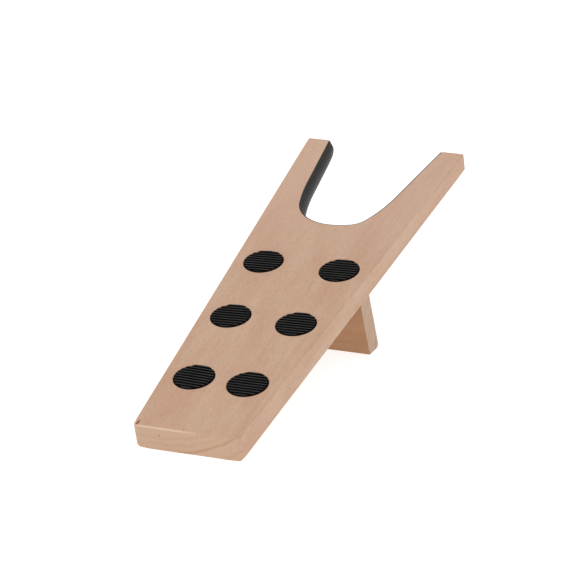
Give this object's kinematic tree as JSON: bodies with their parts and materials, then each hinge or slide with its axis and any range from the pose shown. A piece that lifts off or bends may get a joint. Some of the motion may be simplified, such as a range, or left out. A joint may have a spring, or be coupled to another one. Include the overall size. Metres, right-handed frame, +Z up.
{
  "type": "boot jack",
  "caption": "Wooden boot jack: tapered board with a rubber-lined heel notch and ribbed round grips, held at a slope by a fixed plank leg.",
  "frame": {"origin": "on the floor, at the middle of the bounding box", "axes": "+Z up, +Y along the board from the low toe end to the raised fork, +X to the right seen from the toe end"},
  "size_m": [0.1298, 0.3826, 0.107],
  "materials": {
    "board_beech": "sanded, clear matt",
    "leg_beech": "sanded, clear matt",
    "lining_rubber": "matt",
    "grip_rubber": "ribbed, matt",
    "screw_steel": "zinc plated"
  },
  "bodies": {
    "root": {"board": "board_beech", "support_leg": "leg_beech", "notch_lining": "lining_rubber", "grip_disc_toe_left": "grip_rubber", "grip_disc_toe_right": "grip_rubber", "grip_disc_middle_left": "grip_rubber", "grip_disc_middle_right": "grip_rubber", "grip_disc_fork_left": "grip_rubber", "grip_disc_fork_right": "grip_rubber", "leg_screw_left": "screw_steel", "leg_screw_right": "screw_steel"}
  },
  "joints": []
}
